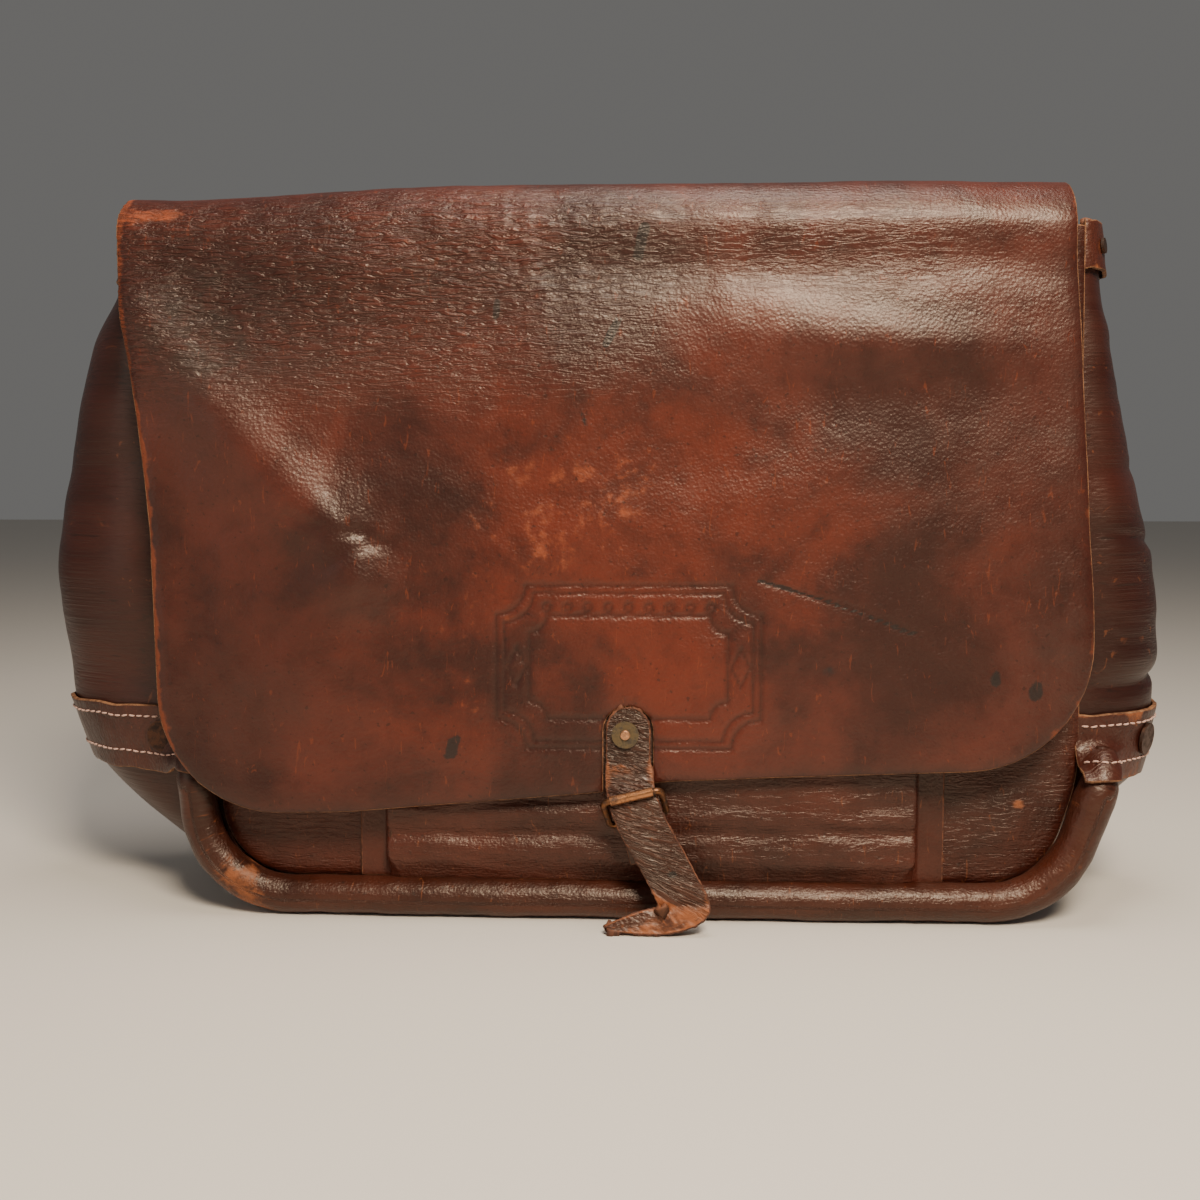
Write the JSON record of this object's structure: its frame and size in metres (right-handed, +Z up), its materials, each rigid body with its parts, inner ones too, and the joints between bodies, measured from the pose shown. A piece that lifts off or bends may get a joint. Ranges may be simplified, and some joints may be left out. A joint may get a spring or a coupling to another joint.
{
  "type": "letter carrier's satchel",
  "caption": "Leather satchel with a full-width flap over an open-mouthed compartment, a front pocket, bulging side gussets, leather rolls round the base and a buckled closure strap.",
  "frame": {"origin": "under the middle of the base, on the surface that the rolls stand on", "axes": "+X along the bag's width, to the right as seen from the front; the front faces -Y; +Z up"},
  "size_m": [0.6166, 0.1608, 0.385],
  "materials": {
    "panel_leather": "worn, waxed",
    "gusset_leather": "soft, waxed",
    "roll_leather": "worn",
    "roll_filler": "twisted fibre",
    "band_leather": "waxed",
    "white_thread": "waxed thread",
    "rivet_metal": "tarnished",
    "pocket_leather": "worn, waxed",
    "strap_leather": "cracked, dry",
    "flap_leather": "wrinkled, waxed, glossy in places",
    "old_brass": "worn, tarnished"
  },
  "bodies": {
    "bag": {"front_panel": "panel_leather", "back_panel": "panel_leather", "gusset_left": "gusset_leather", "gusset_right": "gusset_leather", "bottom_panel": "panel_leather", "front_roll": "roll_leather", "front_roll_core": "roll_filler", "rear_roll": "roll_leather", "rear_roll_core": "roll_filler", "band_left": "band_leather", "band_right": "band_leather", "band_stitching": "white_thread", "band_rivets": "rivet_metal", "top_tab_left": "band_leather", "top_tab_right": "band_leather", "tab_rivets": "rivet_metal", "front_pocket": "pocket_leather", "buckle_chape": "strap_leather"},
    "buckle": {"buckle_frame": "old_brass"},
    "roller": {"buckle_roller": "old_brass"},
    "tongue": {"buckle_tongue": "old_brass"},
    "flap_top": {"flap_top": "flap_leather"},
    "flap": {"flap_front": "flap_leather", "flap_patch": "flap_leather", "closure_strap": "strap_leather", "strap_washer": "old_brass", "strap_rivet": "old_brass"}
  },
  "joints": [
    {"name": "flap_rear_fold", "type": "hinge", "parent": "bag", "child": "flap_top", "pos_m": [0.01158, 0.05071, 0.3807], "axis": [-1, 0, 0], "range_deg": [0, 180]},
    {"name": "flap_front_fold", "type": "hinge", "parent": "flap_top", "child": "flap", "pos_m": [0.01158, -0.05281, 0.37898], "axis": [-1, 0, 0], "range_deg": [0, 90], "deforming": ["closure_strap"]},
    {"name": "buckle_swing", "type": "hinge", "parent": "bag", "child": "buckle", "pos_m": [0.02168, -0.06236, 0.0567], "axis": [0.9703, 0, 0.2419], "range_deg": [-6, 88]},
    {"name": "roller_spin", "type": "hinge", "parent": "buckle", "child": "roller", "pos_m": [0.01809, -0.07256, 0.07109], "axis": [0.9703, 0, 0.2419], "continuous": true},
    {"name": "tongue_swing", "type": "hinge", "parent": "buckle", "child": "tongue", "pos_m": [0.02168, -0.06236, 0.0567], "axis": [0.9703, 0, 0.2419], "range_deg": [0, 68]}
  ]
}
